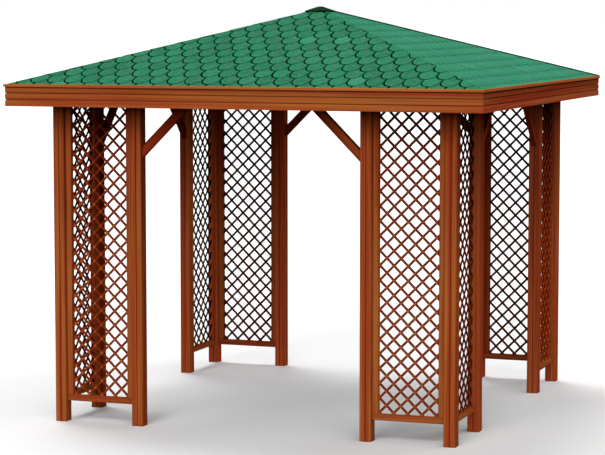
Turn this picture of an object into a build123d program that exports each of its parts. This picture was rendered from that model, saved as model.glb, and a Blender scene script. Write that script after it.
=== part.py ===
from build123d import *

import os

# Open garden gazebo: a square timber frame of grooved posts and lattice corner screens
# under a low pyramid roof of beaver-tail shingles. Millimetres, +Z up, the front is -Y,
# and the origin is the middle of the footprint at ground level.

# Posts, in an L of three at each corner
post = 90
frame_half = 1584
cluster = 725
post_height = 2460
post_easing = 4
groove_width = 9
groove_depth = 6

# Lattice screens between the posts
panel_bottom = 160
panel_recess = 25
panel_thickness = 40
panel_clearance = 1
stile = 45
rail = 47
lath_width = 18
lath_thickness = 8
lath_pitch = 107.5
crossing_inset = 3
crossing_lift = 8

# Knee braces beside the doorways
brace_width = 64
brace_foot = 2028

# Top plates on the posts
plate_height = 90

# Roof planes: the height of the finished roof falls by this much per unit outwards
roof_fall = 0.3065
roof_apex = 3143.5
shingle_depth = 8.4
deck_depth = 15.3
rafter_depth = 99
hip_depth = 118
rafter_width = 45
jack_spacing = 610
jacks_each_side = 2
king_post_width = 112
king_post_bottom = 2850
mitre_gap = 1

# Fascia boards and the strip along the eaves
fascia_face = 1848
fascia_thickness = 28
fascia_height = 145
fascia_bottom = 2412
fascia_bands = 3
fascia_groove_height = 12
fascia_groove_depth = 8
strip_face = 1858
strip_depth = 22
strip_height = 22

# Cap over the apex
cap_half = 98
cap_edge = 7
cap_rise = 35
cap_flat_half = 15
cap_wall = 3
cap_clearance = 1.5

# Derived sizes
post_centre = frame_half - post / 2
doorway_post_centre = frame_half - cluster + post / 2
doorway_half = frame_half - cluster
panel_centre = frame_half - cluster / 2
panel_width = cluster - 2 * post - 2 * panel_clearance
panel_top = post_height - panel_clearance
opening_width = panel_width - 2 * stile
opening_bottom = panel_bottom + rail
opening_top = panel_top - rail
plate_top = post_height + plate_height
fascia_back = fascia_face - fascia_thickness
fascia_top = fascia_bottom + fascia_height
strip_back = strip_face - strip_depth
deck_apex = roof_apex - shingle_depth
rafter_apex = deck_apex - deck_depth

# Each side is the front turned about the vertical axis, with its left and right ends named
sides = {
    "front": (0, "left", "right"),
    "right": (90, "front", "back"),
    "back": (180, "right", "left"),
    "left": (270, "back", "front"),
}
corners = {
    "front_left": (-1, -1),
    "front_right": (1, -1),
    "back_right": (1, 1),
    "back_left": (-1, 1),
}


def save(builder, label):
    """Labels a finished piece and writes it as its own STEP file."""
    builder.part.label = label
    export_step(builder.part, f"parts/{label}.step")


def elevation(angle, distance):
    """Vertical plane facing out of a side: x runs along it to the right, y runs up."""
    along = Vector(1, 0, 0).rotate(Axis.Z, angle)
    outward = Vector(0, -1, 0).rotate(Axis.Z, angle)
    return Plane(origin=outward * distance, x_dir=along, z_dir=outward)


def section(angle):
    """Vertical plane across a side at its middle: x runs outward, y runs up."""
    along = Vector(1, 0, 0).rotate(Axis.Z, angle)
    outward = Vector(0, -1, 0).rotate(Axis.Z, angle)
    return Plane(origin=(0, 0, 0), x_dir=outward, z_dir=along * -1)


def plan(angle, height):
    """Level plane turned to a side: x runs along it to the right, y runs inward."""
    along = Vector(1, 0, 0).rotate(Axis.Z, angle)
    return Plane(origin=(0, 0, height), x_dir=along, z_dir=(0, 0, 1))


def grooved_post(centre_x, centre_y):
    """Square post with eased corners and one V groove down the middle of each face."""
    with BuildPart() as timber:
        with BuildSketch(Plane.XY):
            with Locations((centre_x, centre_y)):
                Rectangle(post, post)
            chamfer(vertices(), post_easing)
            with Locations((centre_x, centre_y)):
                with PolarLocations(post / 2, 4):
                    Polygon(
                        (0, groove_width / 2),
                        (-groove_depth, 0),
                        (0, -groove_width / 2),
                        align=None,
                        mode=Mode.SUBTRACT,
                    )
        extrude(amount=post_height)
    return timber


def lath_layer(plane, end, direction):
    """One layer of parallel laths at 45 degrees, trimmed to the frame's opening. The first
    crossing is beside the doorway post, at the foot of the opening."""
    centre_x = end * panel_centre
    crossing_x = centre_x - end * (opening_width / 2 - crossing_inset)
    crossing_z = opening_bottom + crossing_lift
    reach = opening_width + opening_top - opening_bottom
    count = int(reach / lath_pitch) + 2
    with BuildSketch(plane) as layer:
        for step in range(-count, count):
            with Locations((crossing_x, crossing_z + step * lath_pitch)):
                Rectangle(2 * reach, lath_width, rotation=45 * direction)
        with Locations((centre_x, (opening_bottom + opening_top) / 2)):
            Rectangle(
                opening_width, opening_top - opening_bottom, mode=Mode.INTERSECT
            )
    return layer


def lattice_screen(angle, end):
    """Framed lattice: two layers of crossed laths in a frame of two stiles and two rails."""
    centre_x = end * panel_centre
    frame_plane = elevation(angle, frame_half - panel_recess - panel_thickness)
    lath_plane = frame_plane.offset(panel_thickness / 2 - lath_thickness)
    with BuildPart() as screen:
        with BuildSketch(frame_plane):
            with Locations((centre_x, (panel_bottom + panel_top) / 2)):
                Rectangle(panel_width, panel_top - panel_bottom)
            with Locations((centre_x, (opening_bottom + opening_top) / 2)):
                Rectangle(
                    opening_width, opening_top - opening_bottom, mode=Mode.SUBTRACT
                )
        extrude(amount=panel_thickness)
        back_layer = lath_layer(lath_plane, end, -1)
        extrude(back_layer.sketch, amount=lath_thickness)
        front_plane = lath_plane.offset(lath_thickness)
        front_layer = lath_layer(front_plane, end, 1)
        extrude(front_layer.sketch, amount=lath_thickness)
    return screen


def knee_braces(angle):
    """Pair of 45 degree braces from the doorway posts up to the top plate."""
    brace_plane = elevation(angle, frame_half - panel_recess - panel_thickness)
    foot_height = brace_width * 2**0.5
    rise = post_height - brace_foot
    with BuildPart() as braces:
        for end in (-1, 1):
            foot_x = end * doorway_half
            with BuildSketch(brace_plane):
                Polygon(
                    (foot_x, brace_foot),
                    (foot_x, brace_foot + foot_height),
                    (foot_x - end * (rise - foot_height), post_height),
                    (foot_x - end * rise, post_height),
                    align=None,
                )
            extrude(amount=panel_thickness)
    return braces


def top_plate(angle, half_length):
    """Beam laid on the heads of the posts along one side."""
    with BuildPart() as plate:
        with BuildSketch(elevation(angle, frame_half - post)):
            with Locations((0, post_height + plate_height / 2)):
                Rectangle(2 * half_length, plate_height)
        extrude(amount=post)
    return plate


def mitred_length(angle, outer_half, gap):
    """Level sketch of one side's triangle, so that neighbours meet on the diagonals."""
    with BuildSketch(plan(angle, 0)) as triangle:
        Polygon(
            (gap - outer_half, -outer_half),
            (outer_half - gap, -outer_half),
            (0, -gap),
            align=None,
        )
    return triangle


def fascia_board(angle):
    """Eaves board with two V grooves that divide its face into three equal bands."""
    groove_half = fascia_groove_height / 2
    with BuildPart() as board:
        with BuildSketch(section(angle)):
            with Locations((fascia_face - fascia_thickness / 2, fascia_bottom)):
                Rectangle(
                    fascia_thickness, fascia_height, align=(Align.CENTER, Align.MIN)
                )
            for band in range(1, fascia_bands):
                groove_z = fascia_bottom + band * fascia_height / fascia_bands
                Polygon(
                    (fascia_face, groove_z + groove_half),
                    (fascia_face - fascia_groove_depth, groove_z),
                    (fascia_face, groove_z - groove_half),
                    align=None,
                    mode=Mode.SUBTRACT,
                )
        extrude(amount=fascia_face, both=True)
        triangle = mitred_length(angle, fascia_face, mitre_gap / 2)
        extrude(triangle.sketch, amount=roof_apex, mode=Mode.INTERSECT)
    return board


def eave_strip(angle):
    """Square strip along the top of one fascia board, standing proud of its face."""
    with BuildPart() as strip:
        with BuildSketch(section(angle)):
            with Locations((strip_face, fascia_top)):
                Rectangle(strip_depth, strip_height, align=(Align.MAX, Align.MIN))
        extrude(amount=strip_face, both=True)
        triangle = mitred_length(angle, strip_face, mitre_gap / 2)
        extrude(triangle.sketch, amount=roof_apex, mode=Mode.INTERSECT)
    return strip


def roof_slope(angle, apex, depth, reach):
    """Sloping slab over one side's triangle, of a given vertical depth under its apex."""
    eave = apex - roof_fall * reach
    with BuildPart() as slope:
        with BuildSketch(section(angle)):
            Polygon(
                (0, apex), (reach, eave), (reach, eave - depth), (0, apex - depth),
                align=None,
            )
        extrude(amount=reach, both=True)
        triangle = mitred_length(angle, reach, mitre_gap / 2)
        extrude(triangle.sketch, amount=roof_apex, mode=Mode.INTERSECT)
    return slope


def plate_ring():
    """Level sketch of the four top plates, which the rafters are notched over."""
    inner = 2 * (frame_half - post)
    with BuildSketch(Plane.XY.offset(post_height)) as ring:
        Rectangle(2 * frame_half, 2 * frame_half)
        Rectangle(inner, inner, mode=Mode.SUBTRACT)
    return ring


def pyramid(apex, base_half):
    """Square pyramid below roof planes that meet at the apex, as a tool for cutting."""
    tip_half = rafter_width / 4
    with BuildPart() as solid:
        with BuildSketch(Plane.XY.offset(apex - roof_fall * base_half)):
            Rectangle(2 * base_half, 2 * base_half)
        with BuildSketch(Plane.XY.offset(apex - roof_fall * tip_half)):
            Rectangle(2 * tip_half, 2 * tip_half)
        loft()
    return solid


def hip_rafter_set():
    """Four hip rafters on the diagonals, backed to the roof planes along their tops."""
    length = 2**0.5 * fascia_back
    start = king_post_width / 2
    middle = (start + length) / 2
    under_deck = pyramid(rafter_apex, 2 * frame_half)
    under_hip = pyramid(rafter_apex - hip_depth, 2 * frame_half)
    with BuildPart() as hips:
        with BuildSketch(Plane.XY.offset(fascia_bottom)):
            with PolarLocations(middle, 4, start_angle=45):
                Rectangle(length - start, rafter_width)
            Rectangle(2 * fascia_back, 2 * fascia_back, mode=Mode.INTERSECT)
        extrude(amount=roof_apex - fascia_bottom)
        add(under_deck.part, mode=Mode.INTERSECT)
        add(under_hip.part, mode=Mode.SUBTRACT)
        extrude(plate_ring().sketch, amount=plate_height, mode=Mode.SUBTRACT)
    return hips


def jack_rafter_set(angle):
    """One side's common rafter and its jack rafters, cut against the hips."""
    half = rafter_width / 2
    hip_offset = half * 2**0.5
    with BuildPart() as jacks:
        with BuildSketch(section(angle)):
            eave = rafter_apex - roof_fall * fascia_back
            Polygon(
                (0, rafter_apex),
                (fascia_back, eave),
                (fascia_back, eave - rafter_depth),
                (0, rafter_apex - rafter_depth),
                align=None,
            )
        extrude(amount=fascia_back, both=True)
        with BuildSketch(plan(angle, 0)):
            Polygon(
                (-half, -fascia_back),
                (half, -fascia_back),
                (half, -king_post_width / 2),
                (-half, -king_post_width / 2),
                align=None,
            )
            for end in (-1, 1):
                for step in range(1, jacks_each_side + 1):
                    near = step * jack_spacing - half
                    far = near + rafter_width
                    Polygon(
                        (end * near, -fascia_back),
                        (end * far, -fascia_back),
                        (end * far, -far - hip_offset),
                        (end * near, -near - hip_offset),
                        align=None,
                    )
        extrude(amount=roof_apex, mode=Mode.INTERSECT)
        extrude(plate_ring().sketch, amount=plate_height, mode=Mode.SUBTRACT)
    return jacks


def roof_cap():
    """Folded pyramid cap with a short upright edge and a small flat on top."""
    base = roof_apex - roof_fall * cap_half + cap_clearance
    with BuildPart() as cap:
        with BuildSketch(Plane.XY.offset(base)):
            Rectangle(2 * cap_half, 2 * cap_half)
        extrude(amount=cap_edge)
        with BuildSketch(Plane.XY.offset(base + cap_edge)):
            Rectangle(2 * cap_half, 2 * cap_half)
        with BuildSketch(Plane.XY.offset(base + cap_edge + cap_rise)):
            Rectangle(2 * cap_flat_half, 2 * cap_flat_half)
        loft()
        bottom = cap.faces().sort_by(Axis.Z)[0]
        offset(amount=-cap_wall, openings=bottom)
    return cap


os.makedirs("parts", exist_ok=True)

for corner, (side_x, side_y) in corners.items():
    corner_post = grooved_post(side_x * post_centre, side_y * post_centre)
    save(corner_post, f"{corner}_corner_post")

for side, (angle, left_end, right_end) in sides.items():
    for end, end_name in ((-1, left_end), (1, right_end)):
        foot = elevation(angle, post_centre).from_local_coords(
            Vector(end * doorway_post_centre, 0, 0)
        )
        save(grooved_post(foot.X, foot.Y), f"{side}_doorway_{end_name}_post")
        save(lattice_screen(angle, end), f"{side}_{end_name}_lattice")
    save(knee_braces(angle), f"{side}_braces")
    plate_half = frame_half if angle % 180 == 0 else frame_half - post
    save(top_plate(angle, plate_half), f"{side}_top_plate")
    save(fascia_board(angle), f"{side}_fascia")
    save(roof_slope(angle, deck_apex, deck_depth, strip_back), f"{side}_roof_deck")
    save(roof_slope(angle, roof_apex, shingle_depth, strip_back), f"{side}_shingles")

with BuildPart() as eave_strips:
    for angle, _, _ in sides.values():
        add(eave_strip(angle).part)
save(eave_strips, "eave_strips")

with BuildPart() as jack_rafters:
    for angle, _, _ in sides.values():
        add(jack_rafter_set(angle).part)
save(jack_rafters, "jack_rafters")

save(hip_rafter_set(), "hip_rafters")

with BuildPart() as king_post:
    with BuildSketch(Plane.XY.offset(king_post_bottom)):
        RegularPolygon(king_post_width / 2, 8, major_radius=False, rotation=22.5)
    king_post_top = rafter_apex - roof_fall * king_post_width / 2
    extrude(amount=king_post_top - king_post_bottom)
save(king_post, "king_post")

save(roof_cap(), "roof_cap")
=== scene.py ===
import math
import random

import bmesh
import bpy
from mathutils import Matrix, Vector


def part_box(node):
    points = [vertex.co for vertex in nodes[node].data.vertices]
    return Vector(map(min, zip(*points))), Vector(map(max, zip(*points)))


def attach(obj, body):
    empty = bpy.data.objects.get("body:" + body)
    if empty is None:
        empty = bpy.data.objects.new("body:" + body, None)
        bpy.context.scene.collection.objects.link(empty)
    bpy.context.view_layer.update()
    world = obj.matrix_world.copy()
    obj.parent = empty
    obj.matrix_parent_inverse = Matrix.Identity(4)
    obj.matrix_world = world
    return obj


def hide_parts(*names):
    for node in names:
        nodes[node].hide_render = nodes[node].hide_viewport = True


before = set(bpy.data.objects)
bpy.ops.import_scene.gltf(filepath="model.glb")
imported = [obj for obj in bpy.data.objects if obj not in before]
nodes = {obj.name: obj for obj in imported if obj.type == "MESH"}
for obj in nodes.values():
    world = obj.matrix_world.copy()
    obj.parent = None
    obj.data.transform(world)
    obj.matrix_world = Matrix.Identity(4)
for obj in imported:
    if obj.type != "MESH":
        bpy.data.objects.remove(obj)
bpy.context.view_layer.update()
mm = 0.001
roofFall = 0.3065  # the slopes' rise over run
print("frame loaded:", len(nodes), "nodes")

# each side is the front turned about the upright axis, with the names of its left and right ends
sides = {
    "front": {"turn": 0, "ends": ("left", "right")},
    "right": {"turn": 90, "ends": ("front", "back")},
    "back": {"turn": 180, "ends": ("right", "left")},
    "left": {"turn": 270, "ends": ("back", "front")},
}
draw = random.Random(41)  # one seeded source, so each run gives the same model


def drawSeed():  # where on an endless log a board is cut
    return (draw.uniform(-0.1, 0.1), draw.uniform(-0.1, 0.1), draw.uniform(-40, 40))


# shader sums: a wire is a socket, and sums on wires add Math nodes

class Wire:
    def __init__(self, paint, socket):
        self.paint = paint
        self.socket = socket

    def maths(self, operation, *others):
        inputs = dict(enumerate([self, *others]))
        return self.paint.node("ShaderNodeMath", {"operation": operation}, inputs)

    def __add__(self, other):
        return self.maths("ADD", other)

    def __sub__(self, other):
        return self.maths("SUBTRACT", other)

    def __rsub__(self, other):
        return self.paint.node("ShaderNodeMath", {"operation": "SUBTRACT"}, {0: other, 1: self})

    def __mul__(self, other):
        return self.maths("MULTIPLY", other)

    def __truediv__(self, other):
        return self.maths("DIVIDE", other)

    def __pow__(self, other):
        return self.maths("POWER", other)

    def __abs__(self):
        return self.maths("ABSOLUTE")

    __radd__ = __add__
    __rmul__ = __mul__


class Paint:
    def __init__(self, name):
        self.material = bpy.data.materials.new(name)
        self.material.use_nodes = True
        self.tree = self.material.node_tree
        self.shader = self.tree.nodes["Principled BSDF"]

    def node(self, kind, settings=None, inputs=None, output=0):
        made = self.tree.nodes.new(kind)
        for key, value in (settings or {}).items():
            setattr(made, key, value)
        for key, value in (inputs or {}).items():
            self.feed(made.inputs[key], value)
        return Wire(self, made.outputs[output])

    def feed(self, socket, value):
        if isinstance(value, Wire):
            self.tree.links.new(value.socket, socket)
        elif isinstance(value, tuple) and socket.type == "RGBA":
            socket.default_value = (*value, 1)
        else:
            socket.default_value = value

    def finish(self, **surface):
        for key, value in surface.items():
            self.feed(self.shader.inputs[key.replace("_", " ")], value)
        return self.material

    def point(self):  # place on the piece, in metres
        return self.node("ShaderNodeTexCoord", output="Object")

    def value(self, attribute, output="Vector"):
        return self.node("ShaderNodeAttribute", {"attribute_name": attribute}, output=output)

    def vector(self, operation, *inputs):
        output = 1 if operation in ("LENGTH", "DISTANCE", "DOT_PRODUCT") else 0
        return self.node("ShaderNodeVectorMath", {"operation": operation}, dict(enumerate(inputs)), output)

    def parts(self, vector):
        made = self.node("ShaderNodeSeparateXYZ", inputs={0: vector}).socket.node
        return [Wire(self, socket) for socket in made.outputs]

    def noise(self, vector, stretch, detail=2.0, roughness=0.5):
        scaled = self.vector("MULTIPLY", vector, stretch)
        inputs = {"Vector": scaled, "Scale": 1.0, "Detail": detail, "Roughness": roughness}
        return self.node("ShaderNodeTexNoise", inputs=inputs)

    def rise(self, value, low, high):  # 0 at low, 1 at high, smooth between, either way round
        settings = {"interpolation_type": "SMOOTHSTEP"}
        return self.node("ShaderNodeMapRange", settings, {0: value, 1: low, 2: high})

    def blend(self, share, first, second, mode="MIX"):
        settings = {"data_type": "RGBA", "blend_type": mode}
        return self.node("ShaderNodeMix", settings, {0: share, 6: first, 7: second}, output=2)

    def bump(self, height, depth, distance=1.0):
        return self.node("ShaderNodeBump", inputs={"Strength": depth, "Distance": distance, "Height": height})


def tint(red, green, blue):  # screen values to the linear ones that shaders use
    def linear(part):
        part /= 255
        return part / 12.92 if part <= 0.04045 else ((part + 0.055) / 1.055) ** 2.4

    return (linear(red), linear(green), linear(blue))


# stained timber

timberLook = {
    "red": tint(170, 74, 37),
    "gold": tint(188, 108, 50),
    "dark": tint(98, 34, 12),
    "pale": tint(198, 122, 58),
    "deep": tint(42, 12, 5),
    # painted shade under the eaves: a tone that deepens the timber high up, and a painted shadow at the very
    # top
    "eaveShadeTone": (0.83, 0.66, 0.72),
    "eaveShadeLow": 1.0,
    "eaveShadeHigh": 2.1,
    "eaveShadowLow": 2.31,
    "eaveShadowHigh": 2.44,
    "eaveShadow": 0.6,
    "ringWidth": 6 * mm,
    "pith": (30 * mm, 50 * mm),
    "wander": 50 * mm,
    "bandScale": (30.0, 30.0, 0.5),
    "streakScale": (110.0, 110.0, 1.8),
    "fibreScale": (620.0, 620.0, 14.0),
    "rings": 0.16,
    "streaks": 0.5,
    "fibres": 0.3,
    "easeWidth": 4 * mm,
    "thick": 0.2,
    "rub": 0.35,
    "endGrain": 0.55,
    "grooveShade": 0.62,
    "bumpDepth": 0.6 * mm,
    "bump": 0.35,
    "roughness": 0.6,
    "shine": 0.0,
}


def boardSpace(paint, place=None, half=None, seed=(0.0, 0.0, 0.0)):
    # x across the board, y through it and z along its grain, measured from its middle
    if place is None:
        return paint.value("board"), paint.value("half"), paint.value("seed")
    settings = {"vector_type": "TEXTURE"}
    inputs = {"Vector": paint.point(), "Location": place[0], "Rotation": place[1]}
    return paint.node("ShaderNodeMapping", settings, inputs), half, seed


def timberPaint(
    name, place=None, half=None, seed=(0.0, 0.0, 0.0), groove=None, gold=0.4, extra=None,
    eaveShade=timberLook["eaveShadeTone"], wash=None, faces=(),
):
    look = timberLook
    paint = Paint(name)
    board, half, seed = boardSpace(paint, place, half, seed)
    grain = paint.vector("ADD", board, seed)
    across, through, along = paint.parts(grain)

    # growth rings round a pith that wanders along the board
    sway = paint.noise(grain, (3.0, 3.0, 0.8), detail=1.0)
    drift = (sway - 0.5) * look["wander"]
    pithX, pithY = look["pith"]
    radius = ((across + pithX + drift) ** 2.0 + (through + pithY - drift) ** 2.0) ** 0.5
    rings = (radius * (2 * math.pi / look["ringWidth"]) + sway * 9.0).maths("SINE") * 0.5 + 0.5

    bands = paint.noise(grain, look["bandScale"], detail=2.0)
    streaks = paint.noise(grain, look["streakScale"], detail=3.0)
    fibres = paint.noise(grain, look["fibreScale"], detail=2.0, roughness=0.7)

    colour = paint.blend(paint.rise(bands + (gold - 0.5) * 0.4, 0.36, 0.62), look["red"], look["gold"])
    colour = paint.blend(paint.rise(streaks, 0.5, 0.78) * look["streaks"], colour, look["dark"])
    colour = paint.blend(rings * look["rings"], colour, look["dark"])
    colour = paint.blend(paint.rise(fibres, 0.55, 0.8) * look["fibres"], colour, look["dark"])

    # arrises rub pale in patches, and the stain lies thick beside them
    edgeX, edgeY, edgeZ = paint.parts(paint.vector("SUBTRACT", half, paint.vector("ABSOLUTE", board)))
    longEdge = edgeX.maths("MAXIMUM", edgeY)
    endEdge = edgeX.maths("MINIMUM", edgeY).maths("MAXIMUM", edgeZ)
    edge = longEdge.maths("MINIMUM", endEdge)
    patches = paint.noise(grain, (30.0, 30.0, 7.0), detail=3.0)
    rub = paint.rise(edge, look["easeWidth"], 0.3 * mm) * paint.rise(patches, 0.46, 0.62)
    thick = paint.rise(edge, 2.2 * look["easeWidth"], 0.9 * look["easeWidth"])
    colour = paint.blend(thick * look["thick"], colour, look["dark"])
    colour = paint.blend(rub * look["rub"], colour, look["pale"])

    # stain soaks deep into end grain, and painted shade darkens a V groove
    endGrain = paint.rise(edgeZ, 0.6 * mm, 0.1 * mm)
    colour = paint.blend(endGrain * look["endGrain"], colour, look["deep"])
    if groove:
        sideX, sideY, _ = paint.parts(paint.vector("ABSOLUTE", board))
        near = sideX.maths("MINIMUM", sideY)
        grooveShade = paint.rise(near, groove * 0.62, groove * 0.4) * paint.rise(longEdge, 20 * mm, 30 * mm)
        colour = paint.blend(grooveShade * look["grooveShade"], colour, look["dark"])
    if extra:
        colour = extra(paint, board, colour)
    # a tint over the whole piece; the washes set apart for each post, screen, brace and fascia side are
    # painted light and shade
    if wash:
        colour = paint.blend(1.0, colour, wash, "MULTIPLY")
    upward = paint.parts(paint.point())[2]
    high = paint.rise(upward, look["eaveShadeLow"], look["eaveShadeHigh"])
    # painted shade on the faces turned the listed ways
    for direction, start, full, lowTone, highTone in faces:
        turned = paint.rise(paint.vector("DOT_PRODUCT", board, direction), start, full)
        colour = paint.blend(turned, colour, paint.blend(high, lowTone, highTone), "MULTIPLY")
    if eaveShade:
        # painted shade: darker high up under the roof, and a painted shadow at the very top
        colour = paint.blend(high, colour, eaveShade, "MULTIPLY")
        eaveShadow = paint.rise(upward, look["eaveShadowLow"], look["eaveShadowHigh"])
        colour = paint.blend(eaveShadow * look["eaveShadow"], colour, look["deep"])

    height = rings * 0.25 + fibres * 0.5 + streaks * 0.5
    roughness = fibres * 0.16 + (look["roughness"] - 0.08) + endGrain * 0.2
    normal = paint.bump(height, look["bump"], look["bumpDepth"])
    shine = look["shine"]
    return paint.finish(Base_Color=colour, Roughness=roughness, Normal=normal, Specular_IOR_Level=shine)


def stain(node, paint):  # a CAD piece that keeps its shape
    node.data.materials.clear()
    node.data.materials.append(paint)


# mesh helpers

def boardMatrix(centre, along, across):
    along = Vector(along).normalized()
    across = Vector(across).normalized()
    turned = Matrix((across, along.cross(across), along)).transposed().to_4x4()
    return Matrix.Translation(Vector(centre)) @ turned


def cutAway(bm, point, outward):
    # removes what lies outward of the plane and closes the cut
    geometry = bm.verts[:] + bm.edges[:] + bm.faces[:]
    cut = bmesh.ops.bisect_plane(
        bm, geom=geometry, dist=1e-6, plane_co=point, plane_no=outward, clear_outer=True
    )
    edges = [item for item in cut["geom_cut"] if isinstance(item, bmesh.types.BMEdge)]
    if edges:
        bmesh.ops.holes_fill(bm, edges=edges, sides=0)


def bevelEdges(bm, edges, width, segments=2):
    bmesh.ops.bevel(
        bm, geom=edges, offset=width, segments=segments, profile=0.5, affect="EDGES", material=-1
    )


def turnSide(bm, turn):  # from the front to a side of the gazebo
    turned = Matrix.Rotation(math.radians(turn), 3, "Z")
    bmesh.ops.rotate(bm, cent=(0, 0, 0), matrix=turned, verts=bm.verts)


def join(bm, other):
    # adds one bmesh to another, with its attributes
    scratch = bpy.data.meshes.new("scratch")
    other.to_mesh(scratch)
    bm.from_mesh(scratch)
    bpy.data.meshes.remove(scratch)
    other.free()


def nameBoard(bm, matrix, size):
    # each vertex keeps its place on its own board, for the grain
    board = bm.verts.layers.float_vector.new("board")
    half = bm.verts.layers.float_vector.new("half")
    seed = bm.verts.layers.float_vector.new("seed")
    back = matrix.inverted()
    start = Vector(drawSeed())
    for vertex in bm.verts:
        vertex[board] = back @ vertex.co
        vertex[half] = Vector(size) / 2
        vertex[seed] = start


def addBoard(piece, size, matrix, ease=2 * mm, cuts=(), segments=2):
    # a planed board: size is its width, thickness and length
    bm = bmesh.new()
    bmesh.ops.create_cube(bm, size=1.0)
    bmesh.ops.scale(bm, vec=size, verts=bm.verts)
    bevelEdges(bm, bm.edges[:], ease, segments)
    bmesh.ops.transform(bm, matrix=matrix, verts=bm.verts)
    for point, outward in cuts:
        cutAway(bm, point, outward)
    if bm.verts:
        nameBoard(bm, matrix, size)
    join(piece, bm)


def placePiece(name, bm, paints, turn=0, replaced=()):
    # turns a piece to its side of the gazebo and hands it to the frame
    turnSide(bm, turn)
    mesh = bpy.data.meshes.new(name)
    bm.to_mesh(mesh)
    bm.free()
    for paint in paints:
        mesh.materials.append(paint)
    piece = bpy.data.objects.new(name, mesh)
    bpy.context.scene.collection.objects.link(piece)
    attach(piece, "root")
    if replaced:
        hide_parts(*replaced)
    return piece


# camera, lamps and floor

view = {"place": (5.888, -16.729, 3.095), "tip": 84.52, "turn": 19.85, "lens": 132.25}
cameraData = bpy.data.cameras.new("camera")
cameraData.lens = view["lens"]
cameraData.sensor_width = 36
cameraData.clip_end = 2000
camera = bpy.data.objects.new("camera", cameraData)
camera.location = view["place"]
camera.rotation_euler = (math.radians(view["tip"]), 0, math.radians(view["turn"]))
bpy.context.scene.collection.objects.link(camera)
bpy.context.scene.camera = camera
bpy.context.scene.view_settings.view_transform = "Standard"

# wide soft suns: where each stands, in degrees round from the front and up, how wide it is,
# and its share of the light
lamps = {
    "front_high": {"round": 0, "up": 35, "width": 30, "share": 0.5},
    "front_low": {"round": 22.5, "up": 8, "width": 30, "share": 0.38},
    "front_right": {"round": 45, "up": 35, "width": 30, "share": 0.19},
    "right_high": {"round": 90, "up": 50, "width": 30, "share": 0.165},
    "back_right": {"round": 135, "up": 20, "width": 30, "share": 0.27},
    "back_left": {"round": 225, "up": 65, "width": 30, "share": 0.555},
}
for name, lamp in lamps.items():
    data = bpy.data.lights.new(name, "SUN")
    data.energy = lamp["share"] * math.pi
    data.angle = math.radians(lamp["width"])
    around, up = math.radians(lamp["round"]), math.radians(lamp["up"])
    towards = Vector((math.sin(around) * math.cos(up), -math.cos(around) * math.cos(up), math.sin(up)))
    sun = bpy.data.objects.new(name, data)
    sun.rotation_euler = towards.to_track_quat("Z", "Y").to_euler()
    bpy.context.scene.collection.objects.link(sun)

surround = {
    "fill": 0.03,
    "seen": 1.0,
    "floorGlow": 0.21,
    "floorNear": 0.04,
    "floorSlant": 0.5,
    "floorPale": (-0.4, 3.0),
    "floorShade": 0.9,
    "floorBounce": 0.04,
    "reach": 400,
}


def seenRays(tree):
    # 1 for rays that show the background itself, so that it looks white without lighting the object
    path = tree.nodes.new("ShaderNodeLightPath")
    seen = path.outputs["Is Camera Ray"]
    for kind in ("Is Glossy Ray", "Is Transmission Ray"):
        either = tree.nodes.new("ShaderNodeMath")
        either.operation = "MAXIMUM"
        tree.links.new(seen, either.inputs[0])
        tree.links.new(path.outputs[kind], either.inputs[1])
        seen = either.outputs[0]
    return seen


world = bpy.data.worlds.new("surround")
bpy.context.scene.world = world
world.use_nodes = True
fill = world.node_tree.nodes["Background"]
fill.inputs["Strength"].default_value = surround["fill"]
fill.inputs["Color"].default_value = (1, 1, 1, 1)
white = world.node_tree.nodes.new("ShaderNodeBackground")
white.inputs["Color"].default_value = (1, 1, 1, 1)
white.inputs["Strength"].default_value = surround["seen"]
choice = world.node_tree.nodes.new("ShaderNodeMixShader")
world.node_tree.links.new(seenRays(world.node_tree), choice.inputs[0])
world.node_tree.links.new(fill.outputs[0], choice.inputs[1])
world.node_tree.links.new(white.outputs[0], choice.inputs[2])
world.node_tree.links.new(choice.outputs[0], world.node_tree.nodes["World Output"].inputs[0])


def floorPaint():
    paint = Paint("pale_floor")
    shadow = paint.node("ShaderNodeBsdfDiffuse", inputs={"Color": (surround["floorShade"],) * 3})
    # painted light: the floor glows more towards the back and the left, which lifts its shadow there
    x, y, _ = paint.parts(paint.point())
    far = paint.rise(y - x * surround["floorSlant"], *surround["floorPale"])
    farGlow = paint.blend(far, (surround["floorNear"],) * 3, (1.0, 1.0, 1.0))
    glow = paint.node("ShaderNodeEmission", inputs={"Color": farGlow, "Strength": surround["floorGlow"]})
    seen = paint.node("ShaderNodeAddShader", inputs={0: shadow, 1: glow})
    bounce = paint.node("ShaderNodeBsdfDiffuse", inputs={"Color": (surround["floorBounce"],) * 3})
    rays = Wire(paint, seenRays(paint.tree))
    surface = paint.node("ShaderNodeMixShader", inputs={0: rays, 1: bounce, 2: seen})
    paint.feed(paint.tree.nodes["Material Output"].inputs["Surface"], surface)
    return paint.material


floorMesh = bmesh.new()
bmesh.ops.create_grid(floorMesh, x_segments=1, y_segments=1, size=surround["reach"])
mesh = bpy.data.meshes.new("floor")
floorMesh.to_mesh(mesh)
floorMesh.free()
mesh.materials.append(floorPaint())
floor = bpy.data.objects.new("floor", mesh)
bpy.context.scene.collection.objects.link(floor)
print("camera, lamps and floor set")


# carried-over timbers: posts, plates, rafters and king post

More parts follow.
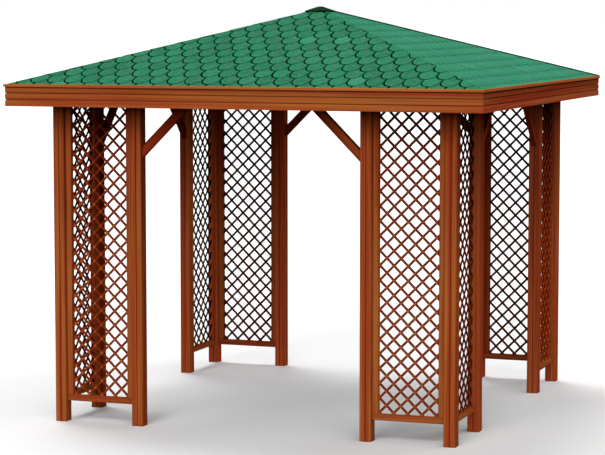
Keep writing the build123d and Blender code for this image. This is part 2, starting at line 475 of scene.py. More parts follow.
grooveWidth = 9 * mm
# each post's gold share, and its painted light and shade: a wash over the whole post, lighter or darker as
# the post stands lit or in shade, and the tone of its painted shade under the eaves
postLook = {
    "front": {"gold": (0.4, 0.52), "wash": (0.95, 0.93, 0.97), "eaveShade": (0.83, 0.66, 0.72)},
    "right_doorway_front": {"gold": (0.3, 0.4), "wash": (0.98, 0.88, 1.02), "eaveShade": (0.66, 0.58, 0.66)},
    "right_doorway_back": {"gold": (0.2, 0.3), "wash": (0.85, 0.75, 0.9), "eaveShade": (0.76, 0.68, 0.8)},
    "back_right": {"gold": (0.25, 0.35), "wash": (1.0, 0.9, 1.0), "eaveShade": (0.75, 0.65, 0.7)},
    "left_doorway_back": {"gold": (0.25, 0.35), "wash": (1.28, 1.15, 1.3), "eaveShade": (1.1, 1.05, 1.1)},
    "back": {"gold": (0.2, 0.3), "wash": (1.25, 1.0, 1.25), "eaveShade": (0.88, 0.8, 0.9)},
    "left_doorway_front": {"gold": (0.3, 0.4), "wash": (1.0, 0.95, 1.0), "eaveShade": (0.8, 0.66, 0.72)},
}
# painted shade on some faces: the way they face, how far out it starts and is full,
# and its tones low and high on the post
east, north, south = (1.0, 0.0, 0.0), (0.0, 1.0, 0.0), (0.0, -1.0, 0.0)
wholeFace = (37 * mm, 42 * mm)
outerBand = (12 * mm, 22 * mm)
postFaceShade = {
    "front": [
        (east, *outerBand, (0.92, 0.9, 0.9), (0.92, 0.9, 0.9)),
        (east, *wholeFace, (0.94, 0.86, 0.83), (0.71, 0.68, 0.66)),
    ],
    "right_doorway_front": [
        (east, *wholeFace, (0.93, 0.88, 0.9), (0.8, 0.76, 0.78)),
        (north, *wholeFace, (0.7, 0.6, 0.65), (0.6, 0.55, 0.6)),
    ],
    "left_doorway_front": [
        (east, *wholeFace, (0.6, 0.5, 0.45), (0.5, 0.5, 0.5)),
        (south, *wholeFace, (0.6, 0.5, 0.45), (0.5, 0.5, 0.5)),
    ],
}
for name, node in nodes.items():
    if not name.endswith("_post") or name == "king_post":
        continue
    key = next(key for key in postLook if name.startswith(key))
    look = postLook[key]
    low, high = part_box(name)
    middle = (low + high) / 2
    seed = drawSeed()
    place = (tuple(middle), (0.0, 0.0, 0.0))
    gold = draw.uniform(*look["gold"])
    paint = timberPaint(
        name + "_stain", place, tuple((high - low) / 2), seed, grooveWidth, gold,
        eaveShade=look["eaveShade"], wash=look["wash"], faces=postFaceShade.get(key, ()),
    )
    stain(node, paint)

for side in sides:
    low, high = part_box(side + "_top_plate")
    middle = (low + high) / 2
    size = (high - low) / 2
    lengthways = size.x > size.y
    turned = (0.0, math.radians(90), 0.0) if lengthways else (math.radians(90), 0.0, 0.0)
    half = (size.z, size.y, size.x) if lengthways else (size.x, size.z, size.y)
    paint = timberPaint(side + "_plate_stain", (tuple(middle), turned), half, drawSeed())
    stain(nodes[side + "_top_plate"], paint)


def rafterPaint(name, diagonal):
    # rafters of one node run different ways, so the grain follows the quarter of the plan they are in
    paint = Paint(name)
    look = timberLook
    x, y, z = paint.parts(paint.point())
    if diagonal:
        right = paint.rise(x * y, -1e-4, 1e-4)
        along = (x + y) * right + (x - y) * (1 - right)
        across = (x - y) * right + (x + y) * (1 - right)
    else:
        right = paint.rise(abs(x) - abs(y), -1e-4, 1e-4)
        along = x * right + y * (1 - right)
        across = y * right + x * (1 - right)
    grain = paint.node("ShaderNodeCombineXYZ", inputs={0: across, 1: z + abs(along) * roofFall, 2: along})
    bands = paint.noise(grain, (26.0, 26.0, 0.6), detail=2.0)
    streaks = paint.noise(grain, (110.0, 110.0, 2.0), detail=3.0)
    fibres = paint.noise(grain, look["fibreScale"], detail=2.0, roughness=0.7)
    colour = paint.blend(paint.rise(bands, 0.32, 0.68), look["gold"], look["pale"])
    colour = paint.blend(paint.rise(streaks, 0.5, 0.8) * look["streaks"], colour, look["dark"])
    colour = paint.blend(paint.rise(fibres, 0.55, 0.8) * look["fibres"], colour, look["dark"])
    height = fibres * 0.6 + streaks * 0.5
    roughness = fibres * 0.16 + (look["roughness"] - 0.08)
    normal = paint.bump(height, look["bump"], look["bumpDepth"])
    shine = look["shine"]
    return paint.finish(Base_Color=colour, Roughness=roughness, Normal=normal, Specular_IOR_Level=shine)


for name, diagonal in (("jack_rafters", False), ("hip_rafters", True)):
    stain(nodes[name], rafterPaint(name + "_stain", diagonal))

low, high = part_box("king_post")
place = (tuple((low + high) / 2), (0.0, 0.0, 0.0))
stain(nodes["king_post"], timberPaint("king_post_stain", place, tuple((high - low) / 2)))
print("posts, plates and rafters stained")


# lattice screens

screen = {
    "stile": 45 * mm,
    "rail": 47 * mm,
    "ease": 2.5 * mm,
    "lathWidth": 18 * mm,
    "lathDepth": 8 * mm,
    "lathEase": 1.2 * mm,
    "pitch": 107.5 * mm,
    "crossingInset": 3 * mm,
    "crossingLift": 8 * mm,
    "housing": 6 * mm,
    "pinRadius": 2.2 * mm,
}


def addPin(bm, place, outward, radius):
    # a small domed nail head
    head = bmesh.new()
    bmesh.ops.create_cone(
        head, cap_ends=True, segments=7, radius1=radius, radius2=radius * 0.55, depth=radius * 0.5
    )
    turned = Vector(outward).to_track_quat("Z", "Y").to_matrix().to_4x4()
    bmesh.ops.transform(head, matrix=Matrix.Translation(place) @ turned, verts=head.verts)
    join(bm, head)


def buildScreen(low, high, end):
    # stiles and rails round two crossed layers of laths, in the front side's place
    frameBm, laths, pins = bmesh.new(), bmesh.new(), bmesh.new()
    up, side = Vector((0, 0, 1)), Vector((1, 0, 0))
    centre = (low + high) / 2
    depth = high.y - low.y
    openLow = Vector((low.x + screen["stile"], 0, low.z + screen["rail"]))
    openHigh = Vector((high.x - screen["stile"], 0, high.z - screen["rail"]))
    for x in (low.x + screen["stile"] / 2, high.x - screen["stile"] / 2):
        size = (screen["stile"], depth, openHigh.z - openLow.z)
        place = boardMatrix((x, centre.y, (openLow.z + openHigh.z) / 2), up, side)
        addBoard(frameBm, size, place, screen["ease"])
    for z in (low.z + screen["rail"] / 2, high.z - screen["rail"] / 2):
        size = (screen["rail"], depth, high.x - low.x)
        addBoard(frameBm, size, boardMatrix((centre.x, centre.y, z), side, -up), screen["ease"])

    housed = screen["housing"]
    cuts = [
        ((openLow.x - housed, 0, 0), (-1, 0, 0)),
        ((openHigh.x + housed, 0, 0), (1, 0, 0)),
        ((0, 0, openLow.z - housed), (0, 0, -1)),
        ((0, 0, openHigh.z + housed), (0, 0, 1)),
    ]
    pitch = screen["pitch"]
    inner = openLow.x if end > 0 else openHigh.x
    crossing = Vector((inner + end * screen["crossingInset"], 0, openLow.z + screen["crossingLift"]))
    spread = openHigh.x - openLow.x
    tall = openHigh.z - openLow.z
    reach = spread + tall + 2 * pitch
    for lean in (1, -1):
        layer = -0.5 if lean > 0 else 0.5  # the laths that rise to the right are outermost
        along = Vector((1, 0, lean))
        for step in range(-int(spread / pitch) - 1, int((tall + spread) / pitch) + 2):
            # measured from a crossing, so that the stain can tell where the others cross
            start = (crossing.x, centre.y + layer * screen["lathDepth"], crossing.z + step * pitch)
            place = boardMatrix(start, along, (lean, 0, -1))
            size = (screen["lathWidth"], screen["lathDepth"], 2 * reach)
            addBoard(laths, size, place, screen["lathEase"], cuts, 1)

    # a pin at each crossing, in the outer laths
    face = centre.y - screen["lathDepth"]
    margin = screen["lathWidth"] / 2
    for column in range(int(2 * spread / pitch) + 1):
        x = crossing.x + end * column * pitch / 2
        for row in range(-1, int(tall / pitch) + 2):
            z = crossing.z + (row + (column % 2) / 2) * pitch
            clear = openLow.x + margin < x < openHigh.x - margin
            if clear and openLow.z + margin < z < openHigh.z - margin:
                addPin(pins, (x, face, z), (0, -1, 0), screen["pinRadius"])
    return frameBm, laths, pins


lathLook = {
    "between": tint(118, 37, 10),
    "betweenShare": 0.85,
    "lathShadeLow": tint(66, 6, 1),
    "lathShadeHigh": tint(18, 1, 1),
    "toneHeights": (0.5, 2.1),
    "gloomHeights": (0.9, 2.3),
    "sideMost": 0.95,
    "innerMost": 0.97,
    "eaveShadowHeights": (1.9, 2.4),
    "eaveShadow": 0.8,
}


def lathShade(sideShare, innerShare):
    # red between the crossings, and painted shade on the thin sides and the inner faces, most so high up,
    # with a painted shadow at the very top
    def shade(paint, board, colour):
        look = lathLook
        x, y, z = paint.parts(board)
        spacing = screen["pitch"] / math.sqrt(2)
        nearest = abs((z + spacing * 1000.5).maths("MODULO", spacing) - spacing / 2)
        between = paint.rise(nearest, screen["lathWidth"] * 0.42, screen["lathWidth"] * 0.62)
        sides = paint.rise(abs(x), screen["lathWidth"] / 2 - 3 * mm, screen["lathWidth"] / 2)
        inner = paint.rise(y, -1 * mm, 3.2 * mm)
        upward = paint.parts(paint.point())[2]
        high = paint.rise(upward, *look["gloomHeights"])
        gloomy = paint.blend(paint.rise(upward, *look["toneHeights"]), look["lathShadeLow"], look["lathShadeHigh"])
        sideGloom = high * (look["sideMost"] - sideShare) + sideShare
        innerGloom = high * (look["innerMost"] - innerShare) + innerShare
        colour = paint.blend(between * look["betweenShare"], colour, look["between"])
        colour = paint.blend(sides * sideGloom, colour, gloomy)
        colour = paint.blend(inner * (1 - sides) * innerGloom, colour, gloomy)
        eaveShadow = paint.rise(upward, *look["eaveShadowHeights"]) * look["eaveShadow"]
        return paint.blend(eaveShadow, colour, timberLook["deep"])

    return shade


def steelPaint():
    paint = Paint("pin_steel")
    mottle = paint.noise(paint.point(), (400.0, 400.0, 400.0), detail=3.0)
    colour = paint.blend(paint.rise(mottle, 0.4, 0.7), tint(112, 66, 38), tint(74, 38, 22))
    return paint.finish(Base_Color=colour, Metallic=0.6, Roughness=mottle * 0.3 + 0.4)


pinSteel = steelPaint()
# each screen's painted light and shade: a wash over its frame, and the painted shade that deepens it high up
# under the eaves
frameLook = {
    "front_left": ((0.86, 0.83, 0.88), timberLook["eaveShadeTone"]),
    "front_right": ((0.84, 0.82, 0.86), timberLook["eaveShadeTone"]),
    "right_front": ((0.9, 0.88, 0.95), (0.7, 0.62, 0.75)),
    "right_back": ((0.78, 0.78, 0.88), (0.48, 0.4, 0.6)),
    "back_right": ((0.62, 0.5, 0.55), (0.7, 0.6, 0.7)),
    "back_left": ((0.8, 0.7, 0.75), (0.75, 0.65, 0.7)),
    "left_back": ((1.25, 1.12, 1.2), (1.0, 0.85, 0.95)),
    "left_front": ((1.0, 0.95, 1.0), timberLook["eaveShadeTone"]),
}
# how strong the painted shade on the laths' thin sides and inner faces is low down
lathGloom = {
    "front": (0.3, 0.7),
    "right": (0.0, 0.7),
    "back": (0.4, 0.97),
    "left_back": (0.95, 0.95),
    "left_front": (0.8, 0.75),
}
# painted light and shade on some screens' laths
lathLightAndShade = {
    "front_left": (1.05, 1.0, 0.95),
    "right_back": (1.3, 1.15, 1.05),
    "right_front": (0.55, 0.42, 0.4),
}
plainLathWash = (0.95, 0.93, 0.9)
allPins = bmesh.new()
for side, facts in sides.items():
    for end, endName in zip((-1, 1), facts["ends"]):
        low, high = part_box("front_left_lattice" if end < 0 else "front_right_lattice")
        frameBm, laths, pins = buildScreen(low, high, end)
        name = f"{side}_{endName}"
        wash, eaveShade = frameLook[name]
        gloom = next(look for key, look in lathGloom.items() if name.startswith(key))
        frameStain = timberPaint(name + "_frame_stain", wash=wash, eaveShade=eaveShade)
        lathStain = timberPaint(
            name + "_lath_stain", extra=lathShade(*gloom), wash=lathLightAndShade.get(name, plainLathWash)
        )
        replaced = [name + "_lattice"]
        placePiece(name + "_frame", frameBm, [frameStain], facts["turn"], replaced)
        placePiece(name + "_laths", laths, [lathStain], facts["turn"], replaced)
        turnSide(pins, facts["turn"])
        join(allPins, pins)
placePiece("lath_pins", allPins, [pinSteel])
print("lattice screens built")


# knee braces

brace = {
    "width": 64 * mm,
    "ease": 3 * mm,
    "screwRadius": 4.5 * mm,
    "screwPlaces": (0.09, 0.91),  # along the brace
    "screwSpread": (-0.22, 0.22),  # across it
    "shadeStart": 24 * mm,
    "shadeFull": 31 * mm,
    "upperShade": 0.85,
}


def braceShade(paint, board, colour):
    # painted shade darkens the upper edge
    upper = paint.rise(paint.parts(board)[0], brace["shadeStart"], brace["shadeFull"])
    return paint.blend(upper * brace["upperShade"], colour, timberLook["deep"])


# the brace's wash and its eave tone are painted shade
braceStain = timberPaint(
    "brace_stain", gold=0.3, extra=braceShade, eaveShade=(0.74, 0.52, 0.55), wash=(0.88, 0.74, 0.8)
)
low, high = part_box("front_braces")
braceScrews = bmesh.new()
proud = 0.2 * mm  # how far a screw head stands out


def addScrew(bm, place, outward, radius):
    # countersunk head with a star recess
    head = bmesh.new()
    bmesh.ops.create_cone(
        head, cap_ends=True, segments=16, radius1=radius, radius2=radius * 0.92, depth=radius * 0.25
    )
    top = max(head.faces, key=lambda face: face.calc_center_median().z)
    bmesh.ops.inset_individual(head, faces=[top], thickness=radius * 0.45, depth=0)
    bmesh.ops.inset_individual(head, faces=[top], thickness=radius * 0.06, depth=-radius * 0.4)
    turned = Vector(outward).to_track_quat("Z", "Y").to_matrix().to_4x4()
    bmesh.ops.transform(head, matrix=Matrix.Translation(place) @ turned, verts=head.verts)
    join(bm, head)


for side, facts in sides.items():
    bm = bmesh.new()
    screws = bmesh.new()
    thick = high.y - low.y
    doorHalf = high.x
    tall = high.z - low.z
    drop = brace["width"] * math.sqrt(2)
    for end in (-1, 1):
        along = Vector((-end, 0, 1)).normalized()
        foot = Vector((end * doorHalf, (low.y + high.y) / 2, low.z + drop / 2))
        head = Vector((end * (doorHalf - tall + drop / 2), foot.y, high.z))
        middle = (foot + head) / 2
        cuts = [((end * doorHalf, 0, 0), (end, 0, 0)), ((0, 0, high.z), (0, 0, 1))]
        place = boardMatrix(middle, along, (end * along.z, 0, -end * along.x))  # x is up
        length = (head - foot).length + 2 * brace["width"]
        addBoard(bm, (brace["width"], thick, length), place, brace["ease"], cuts)
        for share in brace["screwPlaces"]:
            for offset in brace["screwSpread"]:
                spot = foot.lerp(head, share) + Vector((along.z, 0, -along.x)) * offset * brace["width"]
                addScrew(screws, (spot.x, low.y - proud, spot.z), (0, -1, 0), brace["screwRadius"])
    placePiece(side + "_brace_pair", bm, [braceStain], facts["turn"], [side + "_braces"])
    turnSide(screws, facts["turn"])
    join(braceScrews, screws)
placePiece("brace_screws", braceScrews, [pinSteel])
print("knee braces built")


# fascia boards and eave strips

eaves = {
    "bands": 3,
    "grooveHeight": 12 * mm,
    "grooveDepth": 8 * mm,
    "ease": 1.5 * mm,
    "mitreGap": 0.5 * mm,
    "stripDepth": 22 * mm,
    "stripTilt": 0.16,
    "screwLines": (-1220 * mm, -610 * mm, 0.0, 610 * mm, 1220 * mm),  # where the rafters end
    "screwRadius": 4.5 * mm,
    "screwHeights": (1 / 6, 5 / 6),
}
# each side's gold share and wash, the right side's wash being painted shade, and the strength of the painted
# shade and shadow under the strip
fasciaLook = {
    "front": {"gold": 0.56, "wash": (0.98, 0.96, 1.0), "stripShade": 0.3, "stripShadow": 0.5},
    "right": {"gold": 0.5, "wash": (1.02, 0.84, 1.08), "stripShade": 0.62, "stripShadow": 0.8},
    "back": {"gold": 0.5, "wash": (1.0, 0.9, 1.0), "stripShade": 0.3, "stripShadow": 0.5},
    "left": {"gold": 0.5, "wash": (1.0, 0.9, 1.0), "stripShade": 0.3, "stripShadow": 0.5},
}
fasciaShadeLook = {
    "stripShadeHeights": (-70 * mm, 60 * mm),
    "stripShadowHeights": (58 * mm, 66 * mm),
    "grooveHeight": 24.2 * mm,
    "grooveWidth": (5 * mm, 1 * mm),
    "groove": 0.4,
}


def fasciaShade(stripShade, stripShadow):
    # painted shade: darker towards the strip, a painted shadow just under it, and darker in the V grooves
    def shade(paint, board, colour):
        look = timberLook
        upward = paint.parts(board)[0]
        underStrip = paint.rise(upward, *fasciaShadeLook["stripShadeHeights"])
        colour = paint.blend(underStrip * stripShade, colour, look["dark"])
        groove = paint.rise(abs(abs(upward) - fasciaShadeLook["grooveHeight"]), *fasciaShadeLook["grooveWidth"])
        colour = paint.blend(groove * fasciaShadeLook["groove"], colour, look["dark"])
        return paint.blend(paint.rise(upward, *fasciaShadeLook["stripShadowHeights"]) * stripShadow, colour, look["deep"])

    return shade


def extrudeProfile(points, fromX, toX):
    # points are (y, z) round the section, swept along x
    bm = bmesh.new()
    corners = [bm.verts.new((fromX, y, z)) for y, z in points]
    face = bm.faces.new(corners)
    swept = bmesh.ops.extrude_face_region(bm, geom=[face])
    moved = [item for item in swept["geom"] if isinstance(item, bmesh.types.BMVert)]
    bmesh.ops.translate(bm, vec=(toX - fromX, 0, 0), verts=moved)
    bmesh.ops.recalc_face_normals(bm, faces=bm.faces)
    return bm


def mitre(bm, gap):
    # trims a front piece to its quarter of the plan
    for end in (-1, 1):
        cutAway(bm, (end * -gap, 0, 0), (end, 1, 0))


low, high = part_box("front_fascia")
stripLow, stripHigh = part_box("eave_strips")
fasciaScrews = bmesh.new()
for side, facts in sides.items():
    face, back = low.y, high.y
    outline = [(back, low.z), (back, high.z), (face, high.z)]
    band = (high.z - low.z) / eaves["bands"]
    for step in (2, 1):
        middle = low.z + step * band
        outline += [
            (face, middle + eaves["grooveHeight"] / 2),
            (face + eaves["grooveDepth"], middle),
            (face, middle - eaves["grooveHeight"] / 2),
        ]
    outline.append((face, low.z))
    bm = extrudeProfile(outline, low.x, high.x)
    long = [edge for edge in bm.edges if abs(edge.verts[0].co.x - edge.verts[1].co.x) > 1]
    bevelEdges(bm, long, eaves["ease"])
    mitre(bm, eaves["mitreGap"])
    place = boardMatrix((0, (face + back) / 2, (low.z + high.z) / 2), (1, 0, 0), (0, 0, 1))
    nameBoard(bm, place, (high.z - low.z, back - face, high.x - low.x))
    look = fasciaLook[side]
    fasciaStain = timberPaint(
        side + "_fascia_stain", gold=look["gold"], extra=fasciaShade(look["stripShade"], look["stripShadow"]),
        eaveShade=None, wash=look["wash"],
    )
    placePiece(side + "_fascia_board", bm, [fasciaStain], facts["turn"], [side + "_fascia"])
    screws = bmesh.new()
    for x in eaves["screwLines"]:
        for share in eaves["screwHeights"]:
            spot = (x, face - proud, low.z + share * (high.z - low.z))
            addScrew(screws, spot, (0, -1, 0), eaves["screwRadius"])
    turnSide(screws, facts["turn"])
    join(fasciaScrews, screws)
placePiece("fascia_screws", fasciaScrews, [pinSteel])

allStrips = bmesh.new()
for side, facts in sides.items():
    outer = stripLow.y
    inner = outer + eaves["stripDepth"]
    outline = [
        (outer, stripLow.z),
        (inner, stripLow.z),
        (inner, stripHigh.z - 1 * mm),
        (outer, stripHigh.z - 1 * mm - eaves["stripDepth"] * eaves["stripTilt"]),
    ]
    bm = extrudeProfile(outline, stripLow.x, stripHigh.x)
    long = [edge for edge in bm.edges if abs(edge.verts[0].co.x - edge.verts[1].co.x) > 1]
    bevelEdges(bm, long, eaves["ease"])
    mitre(bm, eaves["mitreGap"])
    place = boardMatrix((0, (outer + inner) / 2, (stripLow.z + stripHigh.z) / 2), (1, 0, 0), (0, 0, 1))
    nameBoard(bm, place, (stripHigh.z - stripLow.z, eaves["stripDepth"], stripHigh.x - stripLow.x))
    turnSide(bm, facts["turn"])
    join(allStrips, bm)
stripStain = timberPaint("strip_stain", gold=0.6, eaveShade=None)
placePiece("eave_strip_ring", allStrips, [stripStain], 0, ["eave_strips"])
print("fascia boards and eave strips built")


# roof slopes

slope = {
    "deckDepth": 14 * mm,
    "boardWidth": 95 * mm,
    "boardGap": 0.6 * mm,
    "boardEase": 3 * mm,
    "eaveHalf": 1858 * mm,
    "deckApex": 3135.1 * mm,
    "hipGap": 0.4 * mm,
}
pitchAngle = math.atan(roofFall)
slopeUp = Vector((0, math.cos(pitchAngle), math.sin(pitchAngle)))
slopeOut = Vector((0, -math.sin(pitchAngle), math.cos(pitchAngle)))
eaveEdge = Vector((0, -slope["eaveHalf"], slope["deckApex"] - roofFall * slope["eaveHalf"]))
slopeFrame = Matrix.Translation(eaveEdge) @ Matrix(((1, 0, 0), slopeUp, slopeOut)).transposed().to_4x4()
slopeLength = slope["eaveHalf"] / math.cos(pitchAngle)
hipCuts = [((-slope["hipGap"], 0, 0), (1, 1, 0)), ((slope["hipGap"], 0, 0), (-1, 1, 0))]

roofBoardStain = timberPaint("roof_board_stain", gold=0.9, eaveShade=None, wash=(1.5, 1.6, 1.7))  # unweathered
low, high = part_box("front_roof_deck")
deckStart = (slope["eaveHalf"] + low.y) / math.cos(pitchAngle)
for side, facts in sides.items():
    bm = bmesh.new()
    start = deckStart
    while start < slopeLength:
        middle = start + slope["boardWidth"] / 2
        reach = 2 * (slopeLength - start) * math.cos(pitchAngle) + 4 * slope["boardWidth"]
        local = boardMatrix((0, middle, -slope["deckDepth"] / 2), (1, 0, 0), (0, 1, 0))
        size = (slope["boardWidth"] - slope["boardGap"], slope["deckDepth"], reach)
        addBoard(bm, size, slopeFrame @ local, slope["boardEase"], hipCuts, 1)
        start += slope["boardWidth"]
    replaced = [side + "_roof_deck"]
    placePiece(side + "_roof_boards", bm, [roofBoardStain], facts["turn"], replaced)
print("roof boards laid")


# shingles

shingle = {
    "pitch": 138.6 * mm,
    "slot": 19 * mm,
    "endHeight": 96 * mm,
    "exposure": 159 * mm,
    "length": 335 * mm,
    "thickness": 2.5 * mm,
    "edgeLift": 5.3 * mm,
    "firstEdge": 70 * mm,
    "firstCentre": 40 * mm,
    "eaveStart": 23.4 * mm,
    "rock": 0.4,  # degrees
    "stray": 1 * mm,
    "rows": 12,
    "arcSteps": 20,
    "feltDepth": 0.4 * mm,
    "feltWidth": 0.3,
}


def tabTemplate():
    # one beaver tail: straight sides over a rounded end, laid flat with its tip at the origin
    radius = (shingle["pitch"] - shingle["slot"]) / 2
    bm = bmesh.new()
    bmesh.ops.create_circle(bm, cap_ends=True, segments=shingle["arcSteps"], radius=radius)
    geometry = bm.verts[:] + bm.edges[:] + bm.faces[:]
    bmesh.ops.bisect_plane(bm, geom=geometry, plane_co=(0, 0, 0), plane_no=(0, 1, 0), clear_outer=True)
    bmesh.ops.scale(bm, vec=(1, shingle["endHeight"] / radius, 1), verts=bm.verts)
    straight = [edge for edge in bm.edges if all(abs(vertex.co.y) < 1e-6 for vertex in edge.verts)]
    swept = bmesh.ops.extrude_edge_only(bm, edges=straight)
    moved = [item for item in swept["geom"] if isinstance(item, bmesh.types.BMVert)]
    bmesh.ops.translate(bm, vec=(0, shingle["length"] - shingle["endHeight"], 0), verts=moved)
    bmesh.ops.translate(bm, vec=(0, shingle["endHeight"], 0), verts=bm.verts)
    bmesh.ops.recalc_face_normals(bm, faces=bm.faces)
    if bm.faces[:][0].normal.z < 0:
        bmesh.ops.reverse_faces(bm, faces=bm.faces)
    swept = bmesh.ops.extrude_face_region(bm, geom=bm.faces[:])
    moved = [item for item in swept["geom"] if isinstance(item, bmesh.types.BMVert)]
    bmesh.ops.translate(bm, vec=(0, 0, shingle["thickness"]), verts=moved)
    bmesh.ops.recalc_face_normals(bm, faces=bm.faces)
    flat = bm.loops.layers.uv.new("tab")
    for face in bm.faces:
        for loop in face.loops:
            loop[flat].uv = loop.vert.co.xy
    mesh = bpy.data.meshes.new("tabTemplate")
    bm.to_mesh(mesh)
    bm.free()
    return mesh


shingleLook = {
    "green": tint(22, 101, 70),
    "bright": tint(32, 130, 93),
    "wash": tint(58, 126, 100),
    "grey": tint(96, 128, 112),
    "deep": tint(18, 68, 46),
    "pink": tint(140, 126, 128),
    "vivid": tint(24, 146, 102),
    "paleGreen": tint(74, 172, 138),
    "edgeShade": tint(2, 44, 26),
    "shadow": tint(2, 12, 7),
    "edgeShadeWidth": (17 * mm, 9 * mm),
    "shadowShift": (-11 * mm, -7 * mm),
    "glintShift": (14 * mm, 8 * mm),
    "glint": 0.3,
    "granuleSize": 520.0,
    "clumpSize": 90.0,
    "blotchSize": 26.0,
    "washSize": 2.2,
    "washShare": 0.2,
    "greyShare": 0.3,
    "deepShare": 0.55,
    "pinkShare": 0.5,
    "vividShare": 0.6,
    "paleTabs": (0.975, 0.98),
    "paleShare": 0.22,
    "roughness": 0.82,
    "shine": 0.0,
}


def shinglePaint(name, slopeLight, edgeShadeShare, shadowShare):
    paint = Paint(name)
    tab = paint.node("ShaderNodeUVMap", {"uv_map": "tab"})
    x, y, _ = paint.parts(tab)
    tone = paint.value("tabTone", "Fac")
    radius = (shingle["pitch"] - shingle["slot"]) / 2
    pitch = shingle["pitch"]

    def outside(shiftX, shiftY, course):
        # distance from the tab outlines of a course above, moved by the shift
        nearX = (x - shiftX + course * pitch / 2 + pitch * 8.5).maths("MODULO", pitch) - pitch / 2
        dropY = (y - shiftY - (course * shingle["exposure"] + shingle["endHeight"])).maths("MINIMUM", 0.0)
        reach = (nearX ** 2.0 + dropY ** 2.0) ** 0.5
        share = ((nearX / radius) ** 2.0 + (dropY / shingle["endHeight"]) ** 2.0) ** 0.5
        return reach - reach / share.maths("MAXIMUM", 0.01)

    look = shingleLook
    shadow = paint.rise(outside(*look["shadowShift"], 1), 1 * mm, -1 * mm)
    # painted shade on the tab just below the edge of the course above
    edgeShade = paint.rise(outside(0.0, 0.0, 1), *look["edgeShadeWidth"])
    glint = paint.rise(outside(*look["glintShift"], 0), -2 * mm, 2 * mm)

    place = paint.point()
    granules = paint.noise(place, (look["granuleSize"],) * 3, detail=2.0, roughness=0.8)
    clumps = paint.noise(place, (look["clumpSize"],) * 3, detail=3.0, roughness=0.75)
    blotches = paint.noise(place, (look["blotchSize"],) * 3, detail=3.0)
    washes = paint.noise(place, (look["washSize"],) * 3, detail=2.0)
    tabShare = paint.rise(tone * 0.45 + (blotches - 0.5) * 1.6, -0.3, 0.75)
    colour = paint.blend(tabShare, look["green"], look["bright"])
    colour = paint.blend(paint.rise(washes, 0.35, 0.7) * look["washShare"], colour, look["wash"])
    # painted light lifts some slopes towards pale green; the same pale green also tints a few random tabs
    colour = paint.blend(slopeLight, colour, look["paleGreen"])
    colour = paint.blend(paint.rise(tone, *look["paleTabs"]) * look["paleShare"], colour, look["paleGreen"])
    colour = paint.blend(paint.rise(granules, 0.56, 0.72) * look["greyShare"], colour, look["grey"])
    colour = paint.blend(paint.rise(granules, 0.46, 0.3) * look["deepShare"], colour, look["deep"])
    colour = paint.blend(paint.rise(clumps, 0.53, 0.62) * look["pinkShare"], colour, look["pink"])
    colour = paint.blend(paint.rise(clumps, 0.45, 0.36) * look["vividShare"], colour, look["vivid"])
    colour = paint.blend(glint * look["glint"], colour, look["vivid"])
    colour = paint.blend(edgeShade * edgeShadeShare, colour, look["edgeShade"])
    colour = paint.blend(shadow * shadowShare, colour, look["shadow"])
    normal = paint.bump(granules * 0.8 + blotches * 0.4, 0.6, 1.2 * mm)
    roughness = granules * 0.14 + look["roughness"]
    shine = look["shine"]
    return paint.finish(Base_Color=colour, Roughness=roughness, Normal=normal, Specular_IOR_Level=shine)


def feltPaint():
    paint = Paint("eave_felt")
    granules = paint.noise(paint.point(), (420.0,) * 3, detail=2.0, roughness=0.8)
    colour = paint.blend(granules, tint(8, 22, 15), tint(22, 48, 36))
    shine = shingleLook["shine"]
    return paint.finish(Base_Color=colour, Roughness=granules * 0.1 + 0.85, Specular_IOR_Level=shine)


def layShingles(template):
    bm = bmesh.new()
    tilt = Matrix.Rotation(-math.atan(shingle["edgeLift"] / shingle["length"]), 4, "X")
    eaveCut = (eaveEdge + slopeUp * shingle["eaveStart"], -slopeUp)
    for row in range(shingle["rows"] + 1):
        start = shingle["firstEdge"] + (row - 1) * shingle["exposure"]
        spread = slope["eaveHalf"] - max(start, 0) * math.cos(pitchAngle)
        shift = shingle["firstCentre"] + (0 if row % 2 else shingle["pitch"] / 2)
        first = -int((spread + shift) / shingle["pitch"]) - 1
        last = int((spread - shift) / shingle["pitch"]) + 2
        for step in range(first, last):
            tab = bmesh.new()
            tab.from_mesh(template)
            toneLayer = tab.faces.layers.float.new("tabTone")
            value = draw.random()
            for face in tab.faces:
                face[toneLayer] = value
            angle = draw.uniform(-shingle["rock"], shingle["rock"])
            rock = Matrix.Rotation(math.radians(angle), 4, "Z")
            centre = shift + step * shingle["pitch"] + draw.uniform(-1, 1) * shingle["stray"]
            spot = Matrix.Translation((centre, start, shingle["edgeLift"]))
            bmesh.ops.transform(tab, matrix=slopeFrame @ spot @ tilt @ rock, verts=tab.verts)
            for point, outward in hipCuts:
                cutAway(tab, point, outward)
            if row == 0:
                cutAway(tab, *eaveCut)
            join(bm, tab)
    return bm


def layFelt():
    # a strip of felt under the first course, which shows in its slots
    bm = bmesh.new()
    size = (shingle["feltWidth"], shingle["feltDepth"], 2.2 * slope["eaveHalf"])
    middle = shingle["eaveStart"] + shingle["feltWidth"] / 2
    local = boardMatrix((0, middle, shingle["feltDepth"] / 2), (1, 0, 0), (0, 1, 0))
    addBoard(bm, size, slopeFrame @ local, 0.1 * mm, hipCuts, 1)
    return bm


template = tabTemplate()
# how far painted light lifts each slope towards pale green, and how dark the painted shade under the tab
# edges and the painted shadows at the joints are
slopeLighting = {
    "front": (0.0, 0.62, 0.96),
    "right": (0.3, 0.05, 0.95),
    "back": (0.0, 0.62, 0.92),
    "left": (0.2, 0.5, 0.85),
}
feltBlack = feltPaint()
for side, facts in sides.items():
    green = shinglePaint(side + "_shingle_green", *slopeLighting[side])
    courses = layShingles(template)
    placePiece(side + "_shingle_courses", courses, [green], facts["turn"], [side + "_shingles"])
    placePiece(side + "_eave_felt", layFelt(), [feltBlack], facts["turn"])
bpy.data.meshes.remove(template)

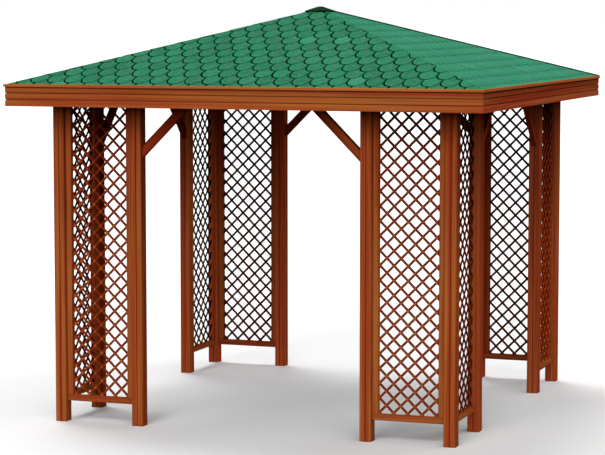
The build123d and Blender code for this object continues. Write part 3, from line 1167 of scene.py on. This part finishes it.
# a bead of sealant along the two back hips
bead = {
    "width": 12 * mm,
    "depth": 10 * mm,
    "ease": 3 * mm,
    "lift": 10.5 * mm,
    "foot": 1850 * mm,
    "head": 85 * mm,
}
beads = bmesh.new()
for end in (-1, 1):
    foot, head = (
        Vector((end * reach, reach, slope["deckApex"] - roofFall * reach + bead["lift"]))
        for reach in (bead["foot"], bead["head"])
    )
    along = head - foot
    place = boardMatrix((foot + head) / 2, along, along.cross(Vector((0, 0, 1))))
    addBoard(beads, (bead["width"], bead["depth"], along.length), place, bead["ease"])
placePiece("hip_sealant", beads, [feltBlack])
print("shingles laid")


# apex cap

cap = {
    "edge": 7 * mm,
    "flatHalf": 15 * mm,
    "wall": 1.2 * mm,
    "fold": 3 * mm,
    "green": tint(32, 62, 38),
    "grimy": tint(18, 50, 30),
    "seam": tint(5, 14, 8),
    "seamWidth": (9 * mm, 2 * mm),
    "footHeight": (13 * mm, 6 * mm),
    "seamShare": 0.8,
    "roughness": 0.5,
}
low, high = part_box("roof_cap")


def buildCap():
    half = high.x
    bm = bmesh.new()
    bmesh.ops.create_cone(
        bm,
        cap_ends=True,
        segments=4,
        radius1=half * math.sqrt(2),
        radius2=cap["flatHalf"] * math.sqrt(2),
        depth=high.z - low.z - cap["edge"],
    )
    turnSide(bm, 45)
    bmesh.ops.translate(bm, vec=(0, 0, (high.z + low.z + cap["edge"]) / 2), verts=bm.verts)
    base = min(bm.faces, key=lambda face: face.calc_center_median().z)
    swept = bmesh.ops.extrude_face_region(bm, geom=[base])
    moved = [item for item in swept["geom"] if isinstance(item, bmesh.types.BMVert)]
    bmesh.ops.translate(bm, vec=(0, 0, -cap["edge"]), verts=moved)
    bottom = [face for face in bm.faces if face.calc_center_median().z < low.z + 0.1 * mm]
    bmesh.ops.delete(bm, geom=bottom, context="FACES")
    folds = [edge for edge in bm.edges if len(edge.link_faces) == 2 and edge.calc_face_angle() > 0.2]
    bevelEdges(bm, folds, cap["fold"], 3)
    bmesh.ops.recalc_face_normals(bm, faces=bm.faces)
    bmesh.ops.solidify(bm, geom=bm.faces[:], thickness=cap["wall"])
    return bm


def capPaint():
    # dark along the folds and the lower edge
    paint = Paint("cap_green")
    place = paint.point()
    x, y, z = paint.parts(place)
    grime = paint.noise(place, (38.0,) * 3, detail=4.0)
    fine = paint.noise(place, (300.0,) * 3, detail=2.0)
    foldNear, foldAt = cap["seamWidth"]
    footTop, footFull = cap["footHeight"]
    seam = paint.rise(abs(abs(x) - abs(y)), foldNear, foldAt)
    foot = paint.rise(z, low.z + footTop, low.z + footFull)
    colour = paint.blend(paint.rise(grime, 0.35, 0.7), cap["grimy"], cap["green"])
    colour = paint.blend(seam * cap["seamShare"], colour, cap["seam"])
    colour = paint.blend(foot * cap["seamShare"], colour, cap["seam"])
    normal = paint.bump(grime, 0.15, 1 * mm)
    roughness = fine * 0.2 + cap["roughness"]
    return paint.finish(Base_Color=colour, Roughness=roughness, Normal=normal, Specular_IOR_Level=0.0)


placePiece("apex_cap", buildCap(), [capPaint()], 0, ["roof_cap"])
print("cap fitted")
